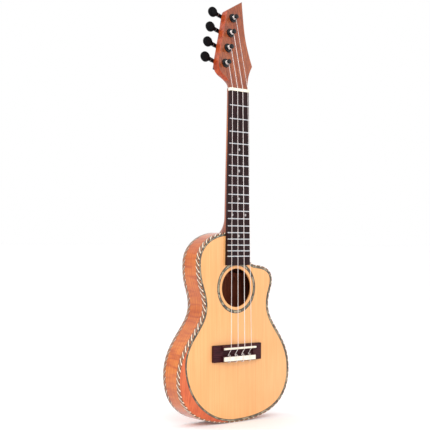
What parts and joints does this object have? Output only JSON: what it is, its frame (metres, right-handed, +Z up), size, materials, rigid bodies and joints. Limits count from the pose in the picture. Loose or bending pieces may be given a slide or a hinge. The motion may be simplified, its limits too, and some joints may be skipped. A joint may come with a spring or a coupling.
{
  "type": "concert ukulele",
  "caption": "Thin-bodied concert ukulele with a cutaway, armrest bevel, rope binding and geared in-line tuners.",
  "frame": {"origin": "the nut's front edge on the centre line, level with the top of the fretboard: where the open strings' length starts, and where a wall hanger's yoke takes the neck", "axes": "+Z up the neck towards the headstock, +X to the right seen from the front, the front faces -Y"},
  "size_m": [0.2162, 0.0532, 0.6342],
  "materials": {
    "spruce_top": "gloss, fine straight grain",
    "figured_wood": "gloss, flamed figure",
    "armrest_wood": "gloss, reddish",
    "neck_mahogany": "satin lacquer",
    "rosewood": "open-grained satin",
    "inner_wood": "bare sanded",
    "rope_inlay": "diagonal light and dark slips under gloss",
    "shell_inlay": "iridescent shell under lacquer",
    "bone": "polished off-white",
    "fret_wire": "polished",
    "black_metal": "semi-gloss black plating",
    "shaft_steel": "turned",
    "button_plastic": "gloss black",
    "string_polymer": "smooth monofilament"
  },
  "bodies": {
    "root": {"soundboard": "spruce_top", "back_plate": "figured_wood", "rim": "figured_wood", "front_rope_binding": "rope_inlay", "back_rope_binding": "rope_inlay", "armrest": "armrest_wood", "rosette": "shell_inlay", "neck_block": "inner_wood", "tail_block": "inner_wood", "front_lining_and_braces": "inner_wood", "back_lining_and_braces": "inner_wood", "bridge_plate": "rosewood", "bridge": "rosewood", "saddle": "bone", "tie_block_cap": "bone", "neck": "neck_mahogany", "fretboard": "rosewood", "nut": "bone", "fret_1": "fret_wire", "fret_2": "fret_wire", "fret_3": "fret_wire", "fret_4": "fret_wire", "fret_5": "fret_wire", "fret_6": "fret_wire", "fret_7": "fret_wire", "fret_8": "fret_wire", "fret_9": "fret_wire", "fret_10": "fret_wire", "fret_11": "fret_wire", "fret_12": "fret_wire", "fret_13": "fret_wire", "fret_14": "fret_wire", "fret_15": "fret_wire", "fret_16": "fret_wire", "fret_17": "fret_wire", "fret_18": "fret_wire", "string_1": "string_polymer", "tuner_housing_1": "black_metal", "tuner_bushing_1": "black_metal", "string_2": "string_polymer", "tuner_housing_2": "black_metal", "tuner_bushing_2": "black_metal", "string_3": "string_polymer", "tuner_housing_3": "black_metal", "tuner_bushing_3": "black_metal", "string_4": "string_polymer", "tuner_housing_4": "black_metal", "tuner_bushing_4": "black_metal"},
    "post_1": {"string_post_1": "black_metal"},
    "button_1": {"worm_shaft_1": "shaft_steel", "tuner_button_1": "button_plastic"},
    "post_2": {"string_post_2": "black_metal"},
    "button_2": {"worm_shaft_2": "shaft_steel", "tuner_button_2": "button_plastic"},
    "post_3": {"string_post_3": "black_metal"},
    "button_3": {"worm_shaft_3": "shaft_steel", "tuner_button_3": "button_plastic"},
    "post_4": {"string_post_4": "black_metal"},
    "button_4": {"worm_shaft_4": "shaft_steel", "tuner_button_4": "button_plastic"}
  },
  "joints": [
    {"name": "button_turn_1", "type": "hinge", "parent": "root", "child": "button_1", "pos_m": [-0.02959, 0.02718, 0.04592], "axis": [0.9466, -0.056, -0.3174], "continuous": true},
    {"name": "post_turn_1", "type": "hinge", "parent": "root", "child": "post_1", "pos_m": [-0.0219, 0.00749, 0.04083], "axis": [0, 0.9848, -0.1736], "continuous": true},
    {"name": "button_turn_2", "type": "hinge", "parent": "root", "child": "button_2", "pos_m": [-0.02125, 0.03143, 0.07007], "axis": [0.9466, -0.056, -0.3174], "continuous": true},
    {"name": "post_turn_2", "type": "hinge", "parent": "root", "child": "post_2", "pos_m": [-0.01355, 0.01175, 0.06498], "axis": [0, 0.9848, -0.1736], "continuous": true},
    {"name": "button_turn_3", "type": "hinge", "parent": "root", "child": "button_3", "pos_m": [-0.0129, 0.03569, 0.09421], "axis": [0.9466, -0.056, -0.3174], "continuous": true},
    {"name": "post_turn_3", "type": "hinge", "parent": "root", "child": "post_3", "pos_m": [-0.00521, 0.01601, 0.08912], "axis": [0, 0.9848, -0.1736], "continuous": true},
    {"name": "button_turn_4", "type": "hinge", "parent": "root", "child": "button_4", "pos_m": [-0.00455, 0.03995, 0.11836], "axis": [0.9466, -0.056, -0.3174], "continuous": true},
    {"name": "post_turn_4", "type": "hinge", "parent": "root", "child": "post_4", "pos_m": [0.00314, 0.02027, 0.11327], "axis": [0, 0.9848, -0.1736], "continuous": true}
  ],
  "couplings": [
    {"joint": "post_turn_1", "follows": "button_turn_1", "ratio": 0.071429},
    {"joint": "post_turn_2", "follows": "button_turn_2", "ratio": 0.071429},
    {"joint": "post_turn_3", "follows": "button_turn_3", "ratio": 0.071429},
    {"joint": "post_turn_4", "follows": "button_turn_4", "ratio": 0.071429}
  ]
}
